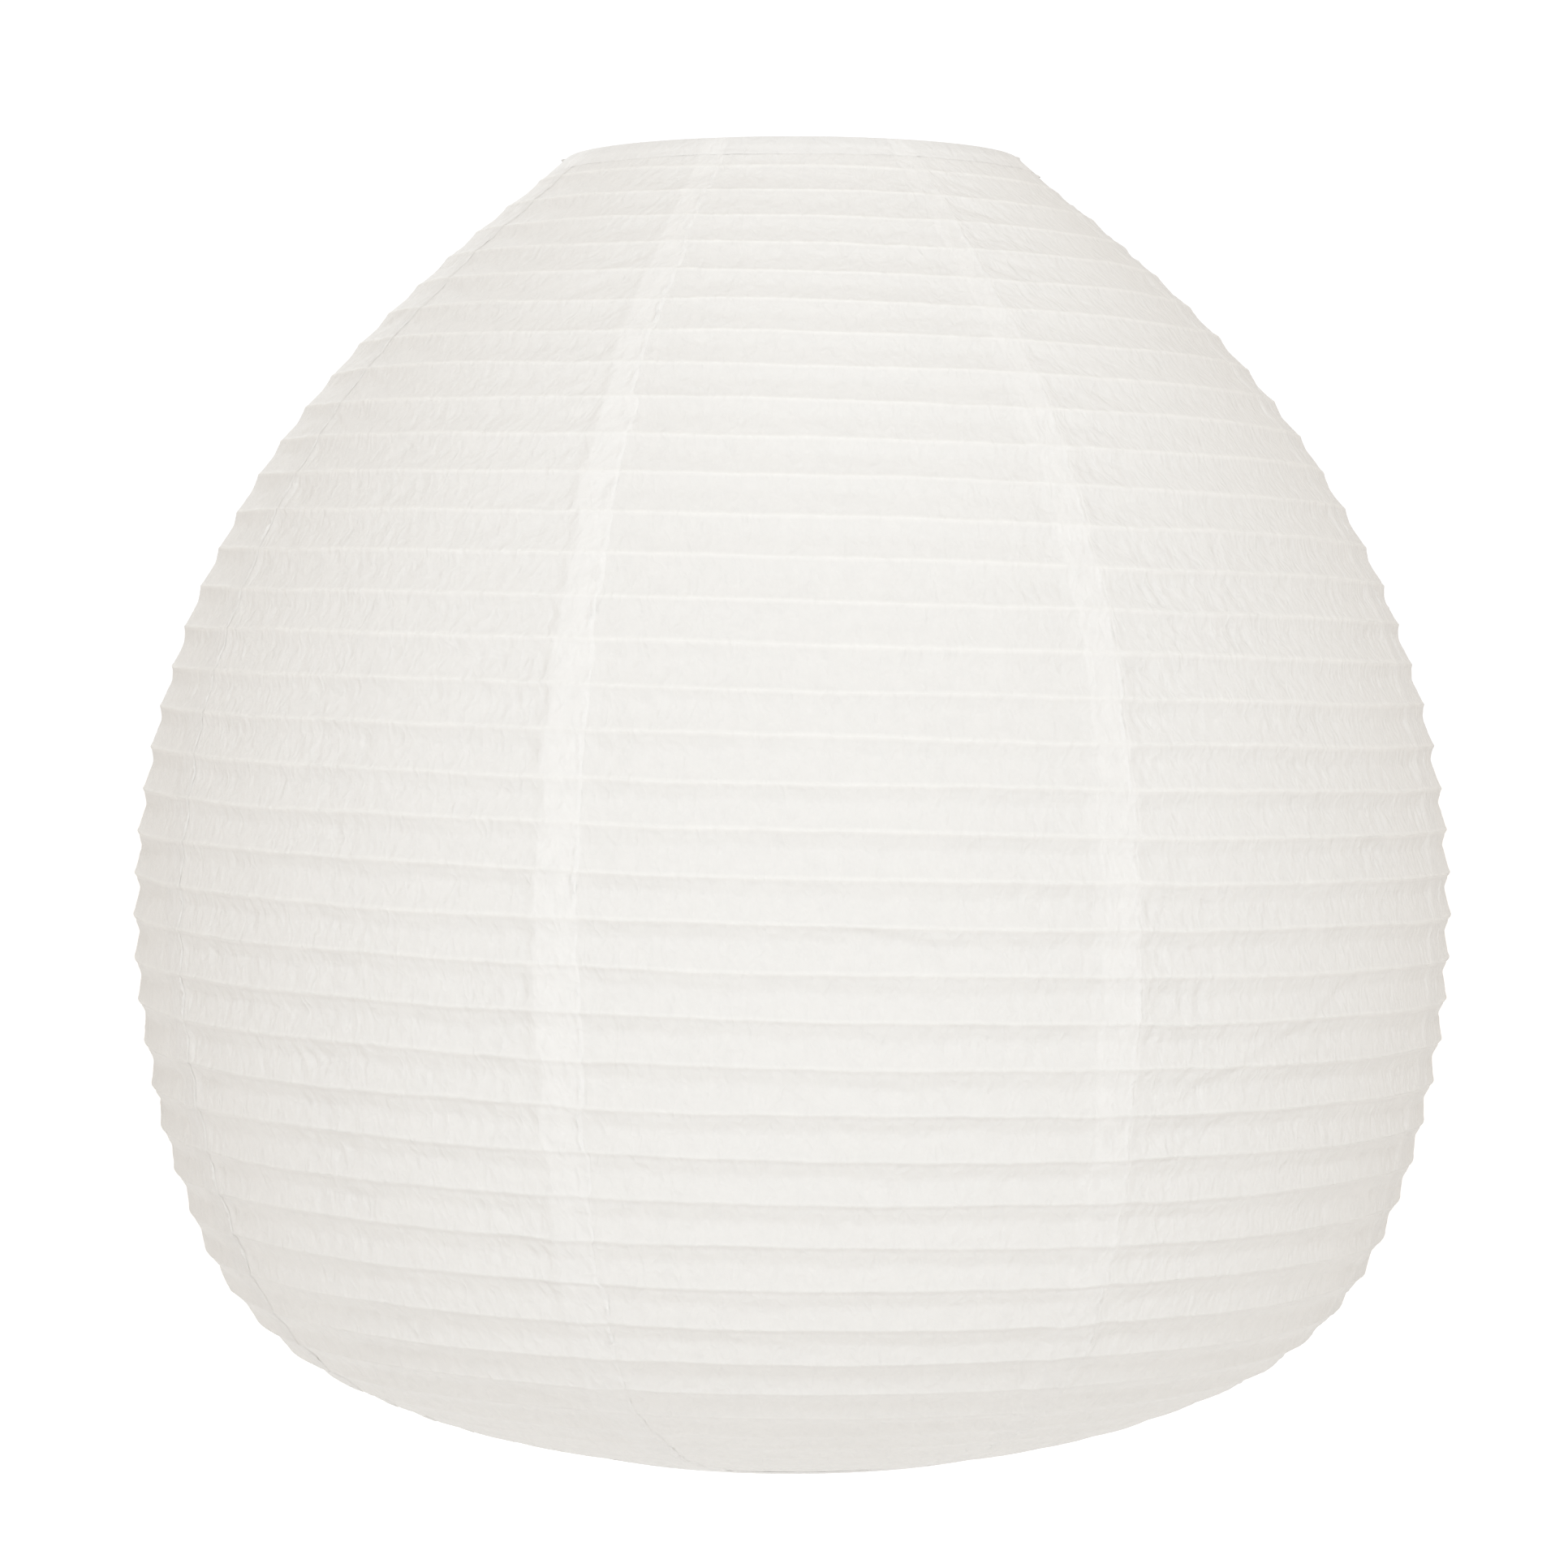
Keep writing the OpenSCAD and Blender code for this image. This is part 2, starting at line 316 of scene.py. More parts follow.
def crinkles(number, across, s, u, share, room):
    """Fine folds in a gore's paper. across is the distance from the gore's
    middle, share the same from -1 to 1, and room is 1 between the ribs and 0
    on them."""
    band = np.floor(u)
    k = number * 31.7
    wide = across / MM
    down = s / MM
    patchy = 0.55 + 0.75 * noise(wide / 60 + k, down / 75 + k, 40)
    patchy = np.clip(patchy, 0.12, 1.3)
    drift = 1.5 * noise(wide / 30 + k, down / 23 + band * 5.3, 41)
    upright = folds((wide + drift * 4) / 8.5 + k, down / 15 + band * 9.7, 42) * 1.0
    upright = upright + folds((wide - drift * 3) / 5.6 - k, down / 8.5 + band * 3.1, 43) * 0.85
    # Oblique folds that fan out from the gore's upper corners
    lean = np.sqrt(share ** 2 + 0.02)
    fan = smooth(s, 0.005, 0.03) * (1 - 0.85 * smooth(s, 0.16, 0.36)) * smooth(lean, 0.2, 0.75)
    along = 0.37 * down - 0.93 * np.abs(wide)
    over = 0.93 * down + 0.37 * np.abs(wide)
    oblique = folds(over / 5.5 + k, along / 42 - k, 44) * 0.62 * fan
    oblique = oblique + folds(over / 9.5 - k, along / 60 + k, 45) * 0.85 * fan
    # Small folds in all directions
    loose = folds((wide + 0.7 * down) / 6.3 + k, (down - 0.7 * wide) / 21 + k, 46) * 0.50
    loose = loose + folds((wide - 0.8 * down) / 5.1 - k, (down + 0.8 * wide) / 17 + k, 47) * 0.42
    fine = noise(wide / 3.4 + k, down / 3.8 - k, 48) * 0.035
    low = 1 - smooth(s, 0.10, 0.26)
    total = upright * room * patchy * (1 - 0.6 * low) + oblique * (0.35 + 0.65 * room)
    total = total + loose * room * patchy * (1 - 0.65 * low)
    return MM * CRUMPLED[number - 1] * (total + fine)


def seam_crinkles(seam, arc, s, u, room):
    """Folds in a double strip, which both gores there share."""
    k = seam * 17.3
    wide, down = arc / MM, s / MM
    band = np.floor(u)
    fold = folds(wide / 9 + k + 40, down / 12 + band * 4.1, 51) * 0.30
    fold = fold + folds((wide + down) / 6 + k, (down - wide) / 14 + k, 52) * 0.20
    return MM * fold * room


class Gore:
    """One gore as a grid of points, rows down the shade and columns across it,
    and how each point lies beside the rib and the gore's two seams."""

    def __init__(self, number):
        self.number = number
        self.seam_numbers = (number - 1, number % GORES)
        start = SEAM_ANGLE + GORE_ANGLE * (number - 1)
        self.seams = (start, start + GORE_ANGLE)
        self.turned_0 = start - RIB_FROM
        if self.turned_0 < -GORE_ANGLE:
            self.turned_0 += 360
        # The seams' own count of turns, which differs by one past the rib's start
        self.own = []
        for i in (0, 1):
            turned = self.turned_0 + i * GORE_ANGLE
            self.own.append((turned - turned % 360) / 360)
        self.lay_out()
        self.measure_seams()
        self.measure_rib()

    def lay_out(self):
        """Where each point lies: its angle, its distance s down the outline,
        and the rib's turns there, u counted from the gore's left seam and v
        from where the rib starts."""
        rows = np.concatenate([
            np.linspace(-1, 0, END_ROWS, endpoint=False),
            (np.arange(RIB_TURNS)[:, None] + BAND_ROWS[None, :]).ravel(),
            np.linspace(RIB_TURNS, RIB_TURNS + 1, END_ROWS),
        ])
        # Columns are closer together beside the seams
        t = np.linspace(0, 1, COLUMNS)
        c = t - 0.35 * np.sin(2 * math.pi * t) / (2 * math.pi)
        both = list(zip(self.seam_numbers, self.own))
        self.covered = [strip_edge(seam, rows + own, -1)[:, None] for seam, own in both]
        self.free = [strip_edge(seam, rows + own, 1)[:, None] for seam, own in both]
        left = self.seams[0] + self.covered[0]
        right = self.seams[1] + self.free[1]
        row_s = np.clip(RIB_START + RIB_PITCH * (rows + 0.5), 0, PAPER_LEN)
        per_mm = np.degrees(MM / on_paper(row_s)[0])[:, None]
        body_end = right - 3.6 * per_mm
        angle = np.concatenate([left + (body_end - left) * c[None, :],
                                right - EDGE_COLUMNS[None, :] / MM * per_mm], 1)
        u = rows[:, None] + np.zeros_like(angle)
        turned = angle - self.seams[0] + self.turned_0
        v = u + turned / 360
        s = rib_line(v, angle)
        # The first and last rows run from the rib to the gore's two ends
        top_line = rib_line(turned / 360, angle)
        low_line = rib_line(RIB_TURNS + turned / 360, angle)
        foot = PAPER_LEN - GORE_END
        s = np.where(u < 0, GORE_END + (top_line - GORE_END) * (u + 1), s)
        s = np.where(u > RIB_TURNS, low_line + (foot - low_line) * (u - RIB_TURNS), s)
        self.angle, self.u, self.turned, self.v, self.s = angle, u, turned, v, s
        self.r = on_paper(s)[0]
        middle = (self.seams[0] + self.seams[1]) / 2
        self.across = np.radians(angle - middle) * self.r
        self.share = (angle - middle) / (GORE_ANGLE / 2)

    def measure_seams(self):
        """How each point lies beside the two seams, along the paper."""
        right = self.seams[1] + self.free[1]
        self.past_free = np.radians(self.angle - self.seams[0] - self.free[0]) * self.r
        past_covered = np.radians(self.angle - self.seams[1] - self.covered[1]) * self.r
        self.to_free = np.radians(right - self.angle) * self.r
        # 1 in the right seam's strip, where this gore lies over the next one
        self.over = smooth(past_covered, -0.8 * MM, 0.8 * MM)
        # 1 in each seam's strip, fading beside it
        self.near = (1 - smooth(self.past_free, 0.5 * MM, 5 * MM),
                     smooth(past_covered, -5 * MM, -0.5 * MM))

    def measure_rib(self):
        """How far each point lies from the rib, and how much room it has to
        move: 1 between the ribs and little on them."""
        u, s = self.u, self.s
        p = u - np.floor(u)
        open_rows = (u >= 0) & (u <= RIB_TURNS)
        self.room = np.where(open_rows, 0.12 + 0.88 * (4 * p * (1 - p)) ** 0.75, 0.35)
        on_rib = np.where(open_rows, np.minimum(p, 1 - p), 1.0) * RIB_PITCH
        # There is no rib before its start and past its end
        if self.turned_0 < 0:
            on_rib = np.where((u < 0.5) & (self.turned <= 0), RIB_PITCH, on_rib)
        on_rib = np.where((u > RIB_TURNS - 0.5) & (self.turned >= 0), RIB_PITCH, on_rib)
        self.on_rib = on_rib
        self.under_rib = np.where(p < 0.5, on_rib, RIB_PITCH)
        # 1 where no tape holds the paper flat
        bare = smooth(s, TAPE_W - 1 * MM, TAPE_W + 3 * MM)
        low_tape = PAPER_LEN - TAPE_W
        self.bare = bare * (1 - smooth(s, low_tape - 3 * MM, low_tape + 1 * MM))

    def fold(self):
        """The gore's own crinkles and creases, and beside each seam the ones
        that it shares with the next gore."""
        own_folds = crinkles(self.number, self.across, self.s, self.u, self.share, self.room)
        own_folds = own_folds + crease(self.number, self.angle, self.s)
        fold = own_folds * (1 - self.near[0]) * (1 - self.near[1])
        for i in (0, 1):
            arc = np.radians(self.angle - self.seams[i]) * self.r
            shared = seam_crinkles(self.seam_numbers[i], arc, self.s, self.u + self.own[i],
                                   self.room)
            fold = fold + shared * self.near[i]
        return fold

    def crimps(self):
        """How far the free edge buckles up in small crimps between the ribs."""
        s = self.s
        key = np.full_like(s, self.number * 3.7)
        crimp = np.abs(noise(s / (4.4 * MM) + key, key, 61))
        crimp = crimp * (0.3 + 1.3 * np.clip(noise(s / (30 * MM), key + 5, 62), 0, 1))
        line = (1.6 + 1.3 * noise(s / (3.6 * MM), key + 9, 63)) * MM
        lift = np.exp(-((self.to_free - line) / (0.75 * MM)) ** 2) * self.room
        return lift * CURL * np.tanh(crimp * 3.2)

    def out(self, lift):
        """How far each point lies out of the smooth outline."""
        stiff = 1 - 0.30 * np.maximum(self.near[0], self.near[1])
        draw = sag(self.u, self.angle, self.s, self.turned) * stiff
        ridge = RIDGE * np.exp(-(self.on_rib / (0.95 * MM)) ** 2)
        # Low on the shade the paper tucks in just under the wire
        tuck = TUCK * np.exp(-((self.under_rib - 1.5 * MM) / (0.9 * MM)) ** 2)
        tuck = tuck * smooth(self.s, 0.26, 0.42)
        relief = rib_out(self.v, self.angle) - draw + self.fold() + lift + ridge - tuck
        # The covered layer of a strip lies lower and the other one hugs it
        under = 1 - smooth(self.past_free, 0.3 * MM, 3.2 * MM)
        lap = UNDER - 0.18 * MM * np.exp(-((self.past_free + 0.2 * MM) / (1.2 * MM)) ** 2)
        hug = self.over * (1 - np.exp(-(self.to_free / (1.2 * MM)) ** 2))
        return relief * self.bare + rise(self.s) - lap * under + 0.10 * MM * hug * self.bare

    def whiteness(self, lift):
        """How double the paper looks, with a painted highlight on the free edge's crimps, and how
        near the rib it is.
        """
        s, over = self.s, self.over
        # Whiter over the rib: partly the white wire under the paper, partly a painted highlight
        # that fades low on the shade
        rib = np.exp(-(self.on_rib / (0.85 * MM)) ** 2) * (1 - 0.7 * smooth(s, 0.36, 0.56))
        double = np.maximum(1 - smooth(self.past_free, -0.3 * MM, 0.3 * MM), over)
        # The strips are mottled, and thinner low on the shade
        worn = 0.95 + 0.35 * noise(self.across / (7 * MM) + self.number, s / (9 * MM), 64)
        seen = [STRIP_SEEN[seam] for seam in self.seam_numbers]
        strength = seen[0] * (1 - over) + seen[1] * over
        double = double * worn * strength * (1 - 0.5 * smooth(s, 0.38, 0.66))
        # A painted highlight on the free edge's crimps, whiter where they lift
        painted_crimp_highlight = 1.5 * np.clip(lift / (0.9 * MM), 0, 1)
        return {"double": np.maximum(double, painted_crimp_highlight), "rib": rib}


def grid_object(name, points, flat=None, values=None, closed=False):
    """A mesh of quads over rows and columns of points. flat gives a UV map in
    metres of paper; values are numbers for each point, as attributes."""
    n, m = points.shape[:2]
    index = np.arange(n * m).reshape(n, m)
    if closed:
        index = np.concatenate([index, index[:, :1]], 1)
    quads = np.stack([index[:-1, :-1], index[1:, :-1], index[1:, 1:], index[:-1, 1:]], -1)
    quads = quads.reshape(-1, 4)
    mesh = bpy.data.meshes.new(name)
    mesh.vertices.add(n * m)
    mesh.vertices.foreach_set("co", points.reshape(-1).astype(np.float32))
    mesh.loops.add(quads.size)
    mesh.loops.foreach_set("vertex_index", quads.reshape(-1).astype(np.int32))
    mesh.polygons.add(len(quads))
    mesh.polygons.foreach_set("loop_start", np.arange(0, quads.size, 4, dtype=np.int32))
    mesh.polygons.foreach_set("use_smooth", np.ones(len(quads), bool))
    mesh.update(calc_edges=True)
    if flat is not None:
        layer = mesh.uv_layers.new(name="flat")
        if closed:
            flat = np.concatenate([flat, flat[:, :1]], 1)
            flat = flat.copy()
            flat[:, -1, 0] = 2 * flat[:, -2, 0] - flat[:, -3, 0]
            w = m + 1
            cell = np.arange(n * w).reshape(n, w)
            corner = np.stack([cell[:-1, :-1], cell[1:, :-1], cell[1:, 1:], cell[:-1, 1:]], -1)
            uv = flat.reshape(-1, 2)[corner.reshape(-1)]
        else:
            uv = flat.reshape(-1, 2)[quads.reshape(-1)]
        layer.data.foreach_set("uv", uv.reshape(-1).astype(np.float32))
    for key, value in (values or {}).items():
        layer = mesh.attributes.new(key, "FLOAT", "POINT")
        layer.data.foreach_set("value", value.reshape(-1).astype(np.float32))
    mesh.validate()
    obj = bpy.data.objects.new(name, mesh)
    bpy.context.scene.collection.objects.link(obj)
    return obj


# ---------------------------------------------------------------- materials
class Nodes:
    """Small helper that adds and links shader nodes."""

    def __init__(self, name):
        self.material = bpy.data.materials.new(name)
        self.material.use_nodes = True
        self.tree = self.material.node_tree
        self.tree.nodes.clear()
        self.out = self.add("ShaderNodeOutputMaterial")

    def add(self, kind, **settings):
        node = self.tree.nodes.new(kind)
        for key, value in settings.items():
            setattr(node, key, value)
        return node

    def link(self, a, b):
        self.tree.links.new(a, b)
        return b

    def math(self, operation, a, b=None, clamp=False):
        node = self.add("ShaderNodeMath", operation=operation, use_clamp=clamp)
        for i, value in enumerate((a, b)):
            if value is None:
                continue
            if isinstance(value, (int, float)):
                node.inputs[i].default_value = value
            else:
                self.link(value, node.inputs[i])
        return node.outputs[0]

    def noise(self, vector, scale, detail=2.0, roughness=0.5, distortion=0.0):
        node = self.add("ShaderNodeTexNoise")
        node.inputs["Scale"].default_value = scale
        node.inputs["Detail"].default_value = detail
        node.inputs["Roughness"].default_value = roughness
        node.inputs["Distortion"].default_value = distortion
        self.link(vector, node.inputs["Vector"])
        return node.outputs["Fac"]

    def stretch(self, vector, scale, turn=0.0):
        node = self.add("ShaderNodeMapping")
        node.inputs["Scale"].default_value = scale
        node.inputs["Rotation"].default_value = (0, 0, turn)
        self.link(vector, node.inputs["Vector"])
        return node.outputs["Vector"]

    def range(self, value, low, high, to_low, to_high):
        node = self.add("ShaderNodeMapRange")
        for key, number in zip(("From Min", "From Max", "To Min", "To Max"),
                               (low, high, to_low, to_high)):
            node.inputs[key].default_value = number
        self.link(value, node.inputs["Value"])
        return node.outputs["Result"]

    def mix(self, fac, a, b, blend="MIX"):
        node = self.add("ShaderNodeMix", data_type="RGBA", blend_type=blend)
        for socket, value in ((node.inputs[0], fac), (node.inputs[6], a), (node.inputs[7], b)):
            if isinstance(value, (int, float, tuple)):
                socket.default_value = value
            else:
                self.link(value, socket)
        return node.outputs[2]

    def bump(self, height, strength, distance, normal=None):
        node = self.add("ShaderNodeBump")
        node.inputs["Strength"].default_value = strength
        node.inputs["Distance"].default_value = distance
        self.link(height, node.inputs["Height"])
        if normal is not None:
            self.link(normal, node.inputs["Normal"])
        return node.outputs["Normal"]


def paper_material(name, single, double, shows_through, see=0.2):
    """Thin mulberry paper: cloudy pulp, fine fibres and a soft matt face. It is whiter where two
    layers lie together, where painted highlights are put, and over the rib, partly from its white
    wire and partly as a painted highlight."""
    n = Nodes(name)
    uv = n.add("ShaderNodeUVMap", uv_map="flat").outputs["UV"]
    # The "double" attribute holds where two layers lie together and the painted highlights; "rib"
    # holds how near the rib each point is
    both = n.add("ShaderNodeAttribute", attribute_name="double").outputs["Fac"]
    rib = n.add("ShaderNodeAttribute", attribute_name="rib").outputs["Fac"]
    cloud = n.noise(uv, 120, 4, 0.6)
    fleck = n.noise(uv, 520, 3, 0.6)
    fibre_a = n.noise(n.stretch(uv, (260, 3200, 1), 0.35), 1.0, 2, 0.5, 0.6)
    fibre_b = n.noise(n.stretch(uv, (3000, 230, 1), -0.25), 1.0, 2, 0.5, 0.6)
    fibres = n.math("ADD", n.range(fibre_a, 0.62, 0.8, 0, 1), n.range(fibre_b, 0.62, 0.8, 0, 1),
                    clamp=True)
    colour = n.mix(both, single, double)
    # Whiter over the rib: partly the white wire under the paper, partly a painted highlight
    colour = n.mix(n.math("MULTIPLY", rib, 0.85), colour, (0.970, 0.965, 0.950, 1))
    shade = n.math("ADD", n.range(cloud, 0.3, 0.7, 0.978, 1.008),
                   n.range(fleck, 0.3, 0.7, -0.008, 0.006))
    shade = n.math("ADD", shade, n.math("MULTIPLY", fibres, 0.012))
    tone = n.add("ShaderNodeCombineColor")
    for socket in tone.inputs:
        n.link(shade, socket)
    colour = n.mix(1.0, colour, tone.outputs[0], "MULTIPLY")
    surface = n.add("ShaderNodeBsdfPrincipled")
    surface.inputs["Specular IOR Level"].default_value = 0.3
    surface.inputs["Sheen Weight"].default_value = 0.08
    surface.inputs["Sheen Roughness"].default_value = 0.6
    n.link(colour, surface.inputs["Base Color"])
    n.link(n.range(fleck, 0.3, 0.7, 0.74, 0.88), surface.inputs["Roughness"])
    height = n.math("ADD", n.math("MULTIPLY", fibres, 0.2), n.math("MULTIPLY", fleck, 1.0))
    normal = n.bump(height, 0.3, 0.00012)
    crease_a = n.noise(n.stretch(uv, (190, 120, 1), 0.45), 1.0, 0.5, 0.5, 0.5)
    crease_b = n.noise(n.stretch(uv, (210, 140, 1), -0.5), 1.0, 0.5, 0.5, 0.5)
    crease = n.math("ADD", n.math("ABSOLUTE", n.math("SUBTRACT", crease_a, 0.5)),
                    n.math("ABSOLUTE", n.math("SUBTRACT", crease_b, 0.5)))
    normal = n.bump(n.math("MULTIPLY", crease, -1.0), 0.4, 0.0020, normal)
    n.link(normal, surface.inputs["Normal"])
    through = n.add("ShaderNodeBsdfTranslucent")
    n.link(n.mix(0.5, colour, shows_through), through.inputs["Color"])
    n.link(normal, through.inputs["Normal"])
    both_faces = n.add("ShaderNodeMixShader")
    both_faces.inputs[0].default_value = see
    n.link(surface.outputs[0], both_faces.inputs[1])
    n.link(through.outputs[0], both_faces.inputs[2])
    n.link(both_faces.outputs[0], n.out.inputs["Surface"])
    return n.material


def darker(colour, share):
    """The same colour at a share of its brightness."""
    return tuple(share * x for x in colour[:3]) + (1,)


def coated_material(name, colour, roughness, speckle):
    """White powder coat over wire or sheet: faint orange peel, with the coat
    a little darker where it has been handled."""
    n = Nodes(name)
    where = n.add("ShaderNodeTexCoord").outputs["Object"]
    peel = n.noise(where, 900, 2, 0.5)
    soil = n.noise(where, 35, 4, 0.6)
    dots = n.noise(where, 2600, 1, 0.5)
    base = n.mix(n.range(soil, 0.45, 0.75, 0, 0.5), colour, darker(colour, 0.93))
    base = n.mix(n.range(dots, 0.66, 0.74, 0, speckle), base, (0.62, 0.61, 0.58, 1))
    surface = n.add("ShaderNodeBsdfPrincipled")
    surface.inputs["Coat Weight"].default_value = 0.15
    surface.inputs["Coat Roughness"].default_value = 0.3
    n.link(base, surface.inputs["Base Color"])
    n.link(n.range(soil, 0.3, 0.7, roughness - 0.06, roughness + 0.08),
           surface.inputs["Roughness"])
    n.link(n.bump(peel, 0.25, 0.0002), surface.inputs["Normal"])
    n.link(surface.outputs[0], n.out.inputs["Surface"])
    return n.material


def steel_material(name, colour, roughness):
    """Drawn or plated steel wire: fine streaks, and duller patches."""
    n = Nodes(name)
    where = n.add("ShaderNodeTexCoord").outputs["Object"]
    streak = n.noise(n.stretch(where, (1, 1, 18)), 260, 3, 0.6)
    patch = n.noise(where, 60, 4, 0.6)
    base = n.mix(n.range(patch, 0.35, 0.7, 0, 1), colour, darker(colour, 0.72))
    surface = n.add("ShaderNodeBsdfPrincipled")
    surface.inputs["Metallic"].default_value = 1.0
    n.link(base, surface.inputs["Base Color"])
    rough = n.math("ADD", n.range(streak, 0.3, 0.7, -0.07, 0.07),
                   n.range(patch, 0.3, 0.7, roughness, roughness + 0.12))
    n.link(rough, surface.inputs["Roughness"])
    n.link(n.bump(streak, 0.2, 0.0001), surface.inputs["Normal"])
    n.link(surface.outputs[0], n.out.inputs["Surface"])
    return n.material


PAPER = paper_material("paper", (0.880, 0.874, 0.864, 1), (0.943, 0.938, 0.929, 1),
                       (0.95, 0.92, 0.87, 1))
TAPE = paper_material("tape_paper", (0.885, 0.879, 0.869, 1), (0.945, 0.940, 0.931, 1),
                      (0.95, 0.92, 0.87, 1), see=0.12)
COATED = coated_material("spreader_coat", (0.86, 0.86, 0.84, 1), 0.42, 0.25)
RIB_COAT = coated_material("rib_coat", (0.88, 0.87, 0.84, 1), 0.5, 0.1)
STEEL = steel_material("ring_steel", (0.62, 0.62, 0.60, 1), 0.32)
PLATED = steel_material("ferrule_steel", (0.72, 0.71, 0.69, 1), 0.26)


def dress(obj, material):
    """Gives an object this material on every slot, without touching its mesh
    points."""
    if not obj.material_slots:
        obj.data.materials.append(material)
    for entry in obj.material_slots:
        entry.material = material


# ---------------------------------------------------------------- pieces
def fold_with_shade(obj):
    """Gives a piece its own copy of its mesh."""
    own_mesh(obj)


def make_gore(number):
    """One gore of paper, whose flat size is the size it would be cut to."""
    shape = Gore(number)
    lift = shape.crimps()
    points = place(shape.s, shape.angle, shape.out(lift))
    flat = np.stack([shape.across + number * 0.3, shape.s], -1)
    gore = grid_object(f"paper_gore_{number}", points, flat, shape.whiteness(lift))
    dress(gore, PAPER)
    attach(gore, "shade")
    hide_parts(f"gore_{number}")
    fold_with_shade(gore)


def make_rib():
    """One wire from end to end of the spiral, glued under the paper."""
    turned = np.arange(0, 360 * RIB_TURNS + RIB_STEP, RIB_STEP)
    angle = RIB_FROM + turned
    v = turned / 360
    s = rib_line(v, angle % 360)
    out = rib_out(v, angle % 360) + RIDGE + rise(s) - RIB_UNDER
    # Its low end dips with the paper, which sags past it
    out = out - 0.8 * MM * smooth(turned - 360 * RIB_TURNS, -8, 0)
    centre = place(s, angle, out)
    slope = on_paper(s)[2]
    a = np.radians(angle)
    outward = np.stack([np.sin(slope) * np.cos(a), np.sin(slope) * np.sin(a), np.cos(slope)], -1)
    downward = np.stack([np.cos(slope) * np.cos(a), np.cos(slope) * np.sin(a), -np.sin(slope)], -1)
    side = np.radians(np.arange(RIB_SIDES) * 360 / RIB_SIDES)[None, :, None]
    around = outward[:, None, :] * np.cos(side) + downward[:, None, :] * np.sin(side)
    rib = grid_object("spiral_rib_wire", centre[:, None, :] + RIB_WIRE_R * around, closed=True)
    dress(rib, RIB_COAT)
    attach(rib, "shade")
    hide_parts("spiral_rib")
    fold_with_shade(rib)


for gore_number in range(1, GORES + 1):
    make_gore(gore_number)
make_rib()


# The tape's mesh: points round the ring, and rows over the ring's wire
TAPE_COLUMNS = 540
ROUND_ROWS = 16
# Where its outer flap is split off, counted from its edge: the row, and the
# share of the straight part
SPLIT_ROW = 10
SPLIT_SHARE = 0.853
# How far the gores ride up at the tape's edge
EDGE_RISE = float(rise(TAPE_W))


def tape_section():
    """The tape's section, from its outer edge round the ring to its inner
    edge, as rows of (distance from the ring's centre along the paper, distance
    out of it), and how many rows each flap has."""
    outer_gap, inner_gap = EDGE_RISE + 0.03 * MM, 0.45 * MM - EDGE_RISE

    def tangent(gap):
        """The angle at which a straight flap that ends at this gap from the
        gores meets the round of the ring."""
        return math.atan2(gap, TAPE_W) + math.acos(TAPE_TURN_R / math.hypot(TAPE_W, gap))

    from_t, to_t = tangent(outer_gap), 2 * math.pi - tangent(inner_gap)
    touch_out = TAPE_TURN_R * np.array([math.cos(from_t), math.sin(from_t)])
    touch_in = TAPE_TURN_R * np.array([math.cos(to_t), math.sin(to_t)])
    edge_out, edge_in = np.array([TAPE_W, outer_gap]), np.array([TAPE_W, -inner_gap])
    share = np.append(np.linspace(0, SPLIT_SHARE, SPLIT_ROW + 1), (1 + SPLIT_SHARE) / 2)[:, None]
    turn = np.linspace(from_t, to_t, ROUND_ROWS)[:, None]
    rows = np.concatenate([edge_out + (touch_out - edge_out) * share,
                           TAPE_TURN_R * np.concatenate([np.cos(turn), np.sin(turn)], 1),
                           touch_in + (edge_in - touch_in) * (1 - share[::-1])])
    return rows, len(share)


def tape_relief(section, flap_rows, angle, flap, seed):
    """Where the tape's points lie along the paper and out of it: the section
    at every angle, with crooked edges, pleats and room for the ferrule."""
    columns = angle.shape[1]
    around = angle[0]
    wander_out = 0.6 * MM * noise(around / 7.5, np.full(columns, 1.5), seed, period=48)
    wander_out += 0.25 * MM * noise(around / 2.0, np.full(columns, 5.5), seed + 1, period=180)
    wander_in = 0.8 * MM * noise(around / 9.0, np.full(columns, 2.5), seed + 2, period=40)
    edge = np.zeros(angle.shape)
    edge[:flap_rows] = wander_out[None, :] * np.linspace(1, 0, flap_rows)[:, None] ** 2
    edge[-flap_rows:] = wander_in[None, :] * np.linspace(0, 1, flap_rows)[:, None] ** 2
    along = section[:, :1] + edge
    out = np.repeat(section[:, 1:], columns, 1)
    # Pleats, because a straight tape has too much edge for the ring. They end
    # before the edge, which is glued flat
    pleat = folds(angle / 3.6, along / (14 * MM) + 3, seed + 3)
    pleat += 0.5 * noise(angle / 1.8, along / (9 * MM) + 8, seed + 4)
    glued = np.where(np.abs(flap) > 0.9, 0.1, 1.0)
    out = out + 0.16 * MM * (pleat + 0.6) * flap * glued
    at_edge = (along > TAPE_W - 1.5 * MM) * (flap > 0)
    out = out + (rise(np.maximum(along, 0)) - EDGE_RISE) * at_edge
    # The tape lies a little wider round the ring's ferrule
    wider = 0.3 * MM * np.exp(-((angle - FERRULE_ANGLE) / 5) ** 2) * (along < 3 * MM)
    out = out + wider * np.sign(out)
    along = along - wider * 1.3 * smooth(-along, 0, 2 * MM)
    return along, out


def tape_whiteness(along, angle, flap):
    """The tape is whiter over the seams' double strips and where it lies flat on the gores, with a
    painted highlight in a band round its outer flap."""
    strip = 1 - smooth(np.abs(from_seam(angle)), 2.4, 3.2)
    # A painted highlight: a whiter band round the outer flap, near the ring
    painted_band_highlight = 0.35 * np.exp(-((along - 6.5 * MM) / (1.8 * MM)) ** 2) * (flap > 0)
    layers = 0.05 + 0.25 * smooth(along, 4 * MM, 8 * MM) + 0.6 * strip + painted_band_highlight
    return np.clip(layers, 0, 1)


